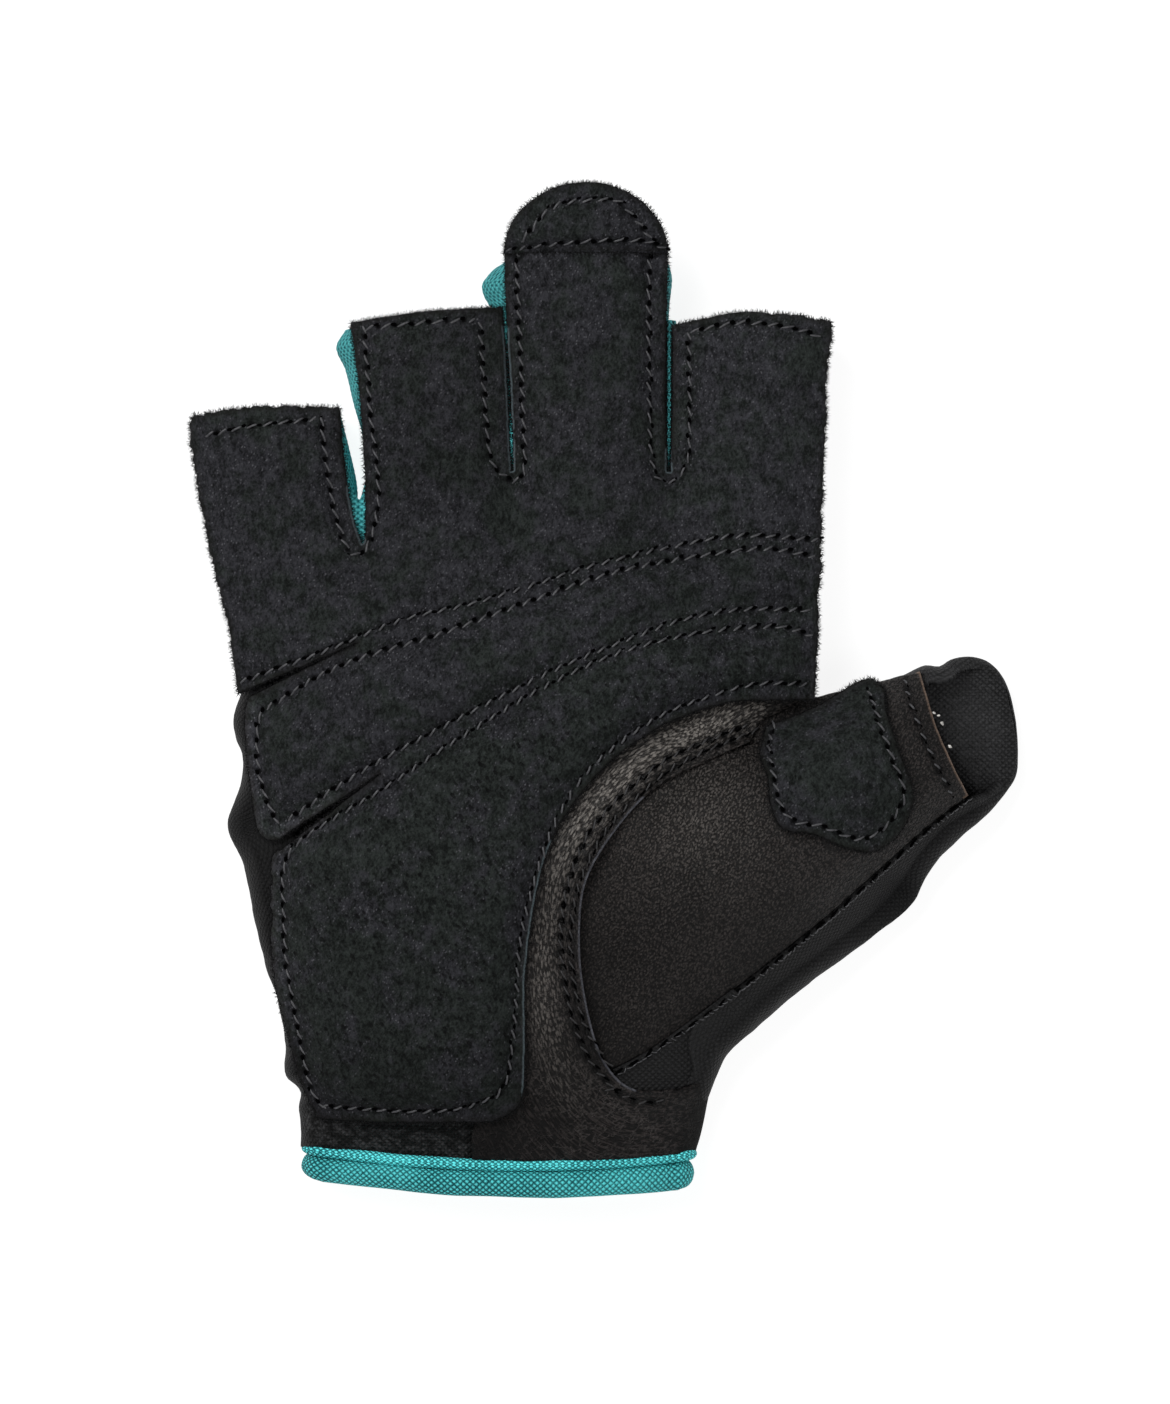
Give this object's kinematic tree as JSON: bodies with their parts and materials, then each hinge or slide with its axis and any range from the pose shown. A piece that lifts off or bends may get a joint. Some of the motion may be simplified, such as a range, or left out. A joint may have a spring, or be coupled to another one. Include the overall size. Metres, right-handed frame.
{
  "type": "weightlifting glove",
  "caption": "Fingerless weightlifting glove for the right hand: suede palm with padded heel, leather thumb, knit back and gussets, wrist binding and a finger pull tab.",
  "frame": {"origin": "centre of the glove's outline on the surface it lies on", "axes": "+Y to the fingertips, +X to the thumb, +Z out of the palm"},
  "size_m": [0.1293, 0.158, 0.0232],
  "materials": {
    "suede": "brushed near-black suede with a short mottled nap",
    "leather": "smooth brown-black leather with fine grain and soft wrinkles",
    "black_knit": "matt black stretch knit",
    "teal_knit": "matt teal ribbed knit"
  },
  "bodies": {
    "root": {"palm_suede": "suede", "pull_tab": "suede", "thumb_patch": "suede", "palm_leather": "leather", "thumb_leather": "leather", "thumb_back": "black_knit", "hand_back": "black_knit", "fourchette_little_ring": "teal_knit", "fourchette_ring_middle": "teal_knit", "fourchette_middle_index": "teal_knit", "cuff_piping": "teal_knit", "cuff_band": "teal_knit"}
  },
  "joints": []
}
